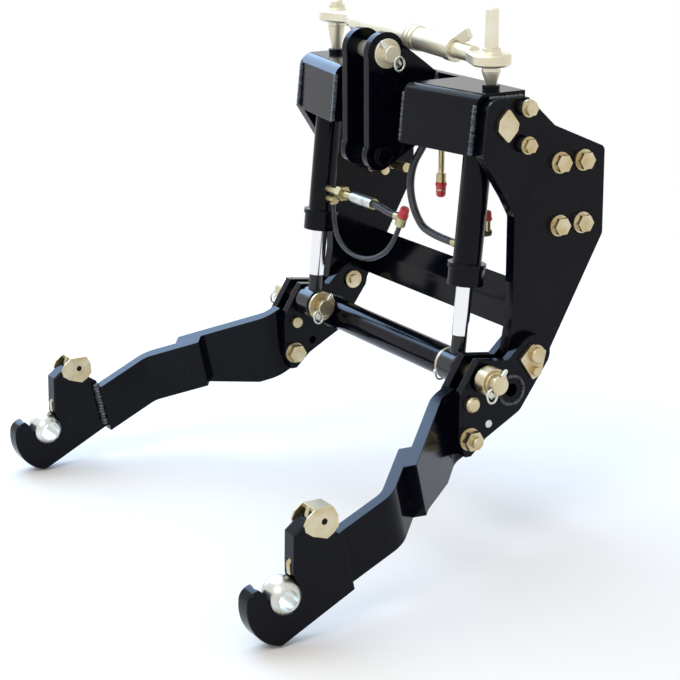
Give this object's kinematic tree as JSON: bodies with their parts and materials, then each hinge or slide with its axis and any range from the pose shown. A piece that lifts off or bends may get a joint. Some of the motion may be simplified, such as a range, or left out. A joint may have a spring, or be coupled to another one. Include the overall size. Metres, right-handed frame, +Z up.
{
  "type": "tractor front linkage",
  "caption": "Front linkage for a tractor: side-plate frame, rocker swung by two hydraulic cylinders, splayed lift arms with quick hooks and balls, and a stowed top link.",
  "frame": {"origin": "on the rocker's pivot line, midway between the side plates", "axes": "+Z up, -Y forward, the way the lift arms point, +X to the tractor's left"},
  "size_m": [0.87, 0.6883, 0.804],
  "materials": {
    "black_paint": "gloss black paint",
    "yellow_zinc": "pale yellow zinc plate",
    "pale_zinc": "pale zinc plate",
    "rod_chrome": "hard chrome",
    "hose_rubber": "satin rubber cover",
    "fitting_brass": "plated brass"
  },
  "bodies": {
    "frame": {"cross_plate": "black_paint", "low_plate": "black_paint", "mast_pin": "yellow_zinc", "mast_linch_pin": "pale_zinc", "mast_bolt": "yellow_zinc", "left_side_plate": "black_paint", "right_side_plate": "black_paint", "left_hood": "black_paint", "right_hood": "black_paint", "left_mast_plate": "black_paint", "right_mast_plate": "black_paint", "left_rail_bolts": "yellow_zinc", "right_rail_bolts": "yellow_zinc", "left_top_pin": "yellow_zinc", "right_top_pin": "yellow_zinc", "left_keeper_bolts": "yellow_zinc", "right_keeper_bolts": "yellow_zinc", "left_post": "pale_zinc", "right_post": "pale_zinc"},
    "rocker": {"cross_tube": "black_paint", "left_inner_bracket": "black_paint", "right_inner_bracket": "black_paint", "left_outer_bracket": "black_paint", "right_outer_bracket": "black_paint", "left_pivot_pin": "yellow_zinc", "right_pivot_pin": "yellow_zinc", "left_rod_pin": "yellow_zinc", "right_rod_pin": "yellow_zinc", "left_rod_linch_pins": "pale_zinc", "right_rod_linch_pins": "pale_zinc", "left_lock_pin": "yellow_zinc", "right_lock_pin": "yellow_zinc", "left_arm_bolt": "yellow_zinc", "right_arm_bolt": "yellow_zinc"},
    "top_link": {"link_tube": "pale_zinc", "link_nut": "pale_zinc", "left_link_end": "pale_zinc", "right_link_end": "pale_zinc", "left_link_ball": "pale_zinc", "right_link_ball": "pale_zinc"},
    "left_arm": {"left_arm_rear_bar": "black_paint", "left_arm_front_bar": "black_paint", "left_hook": "black_paint"},
    "left_latch": {"left_latch": "yellow_zinc"},
    "left_ball": {"left_ball": "pale_zinc"},
    "left_rod": {"left_rod": "rod_chrome"},
    "left_barrel": {"left_barrel": "black_paint", "left_hose": "hose_rubber", "left_fittings": "fitting_brass"},
    "right_arm": {"right_arm_rear_bar": "black_paint", "right_arm_front_bar": "black_paint", "right_hook": "black_paint"},
    "right_latch": {"right_latch": "yellow_zinc"},
    "right_ball": {"right_ball": "pale_zinc"},
    "right_rod": {"right_rod": "rod_chrome"},
    "right_barrel": {"right_barrel": "black_paint", "right_hose": "hose_rubber", "right_loop": "hose_rubber", "right_fittings": "fitting_brass"}
  },
  "joints": [
    {"name": "rocker_lift", "type": "hinge", "parent": "frame", "child": "rocker", "pos_m": [0, 0, 0], "axis": [-1, 0, 0], "range_deg": [-20, 40]},
    {"name": "left_arm_float", "type": "hinge", "parent": "rocker", "child": "left_arm", "pos_m": [0.264, -0.114, -0.113], "axis": [-1, 0, 0], "range_deg": [0, 12]},
    {"name": "left_latch_release", "type": "hinge", "parent": "left_arm", "child": "left_latch", "pos_m": [0.4125, -0.44, -0.131], "axis": [1, 0, 0], "range_deg": [0, 20], "stiffness_Nm_per_rad": 2, "springref_deg": -17.19},
    {"name": "left_ball_turn", "type": "hinge", "parent": "left_arm", "child": "left_ball", "pos_m": [0.4125, -0.498, -0.231], "axis": [1, 0, 0], "continuous": true},
    {"name": "left_rod_pivot", "type": "hinge", "parent": "rocker", "child": "left_rod", "pos_m": [0.216, -0.088, -0.025], "axis": [-1, 0, 0], "range_deg": [-38.5, 19.5]},
    {"name": "left_cylinder_slide", "type": "slide", "parent": "left_rod", "child": "left_barrel", "axis": [0, 0.103, 0.9947], "range_m": [-0.062, 0.032]},
    {"name": "right_arm_float", "type": "hinge", "parent": "rocker", "child": "right_arm", "pos_m": [-0.264, -0.114, -0.113], "axis": [-1, 0, 0], "range_deg": [0, 12]},
    {"name": "right_latch_release", "type": "hinge", "parent": "right_arm", "child": "right_latch", "pos_m": [-0.4125, -0.44, -0.131], "axis": [1, 0, 0], "range_deg": [0, 20], "stiffness_Nm_per_rad": 2, "springref_deg": -17.19},
    {"name": "right_ball_turn", "type": "hinge", "parent": "right_arm", "child": "right_ball", "pos_m": [-0.4125, -0.498, -0.231], "axis": [1, 0, 0], "continuous": true},
    {"name": "right_rod_pivot", "type": "hinge", "parent": "rocker", "child": "right_rod", "pos_m": [-0.216, -0.088, -0.025], "axis": [-1, 0, 0], "range_deg": [-38.5, 19.5]},
    {"name": "right_cylinder_slide", "type": "slide", "parent": "right_rod", "child": "right_barrel", "axis": [0, 0.103, 0.9947], "range_m": [-0.062, 0.032]},
    {"name": "top_link_lift_off", "type": "slide", "parent": "frame", "child": "top_link", "axis": [0, 0, 1], "range_m": [0, 0.12]}
  ],
  "couplings": [
    {"joint": "left_rod_pivot", "follows": "rocker_lift", "ratio": -0.947},
    {"joint": "left_cylinder_slide", "follows": "rocker_lift", "m_per_rad": -0.0859},
    {"joint": "right_rod_pivot", "follows": "rocker_lift", "ratio": -0.947},
    {"joint": "right_cylinder_slide", "follows": "rocker_lift", "m_per_rad": -0.0859}
  ]
}
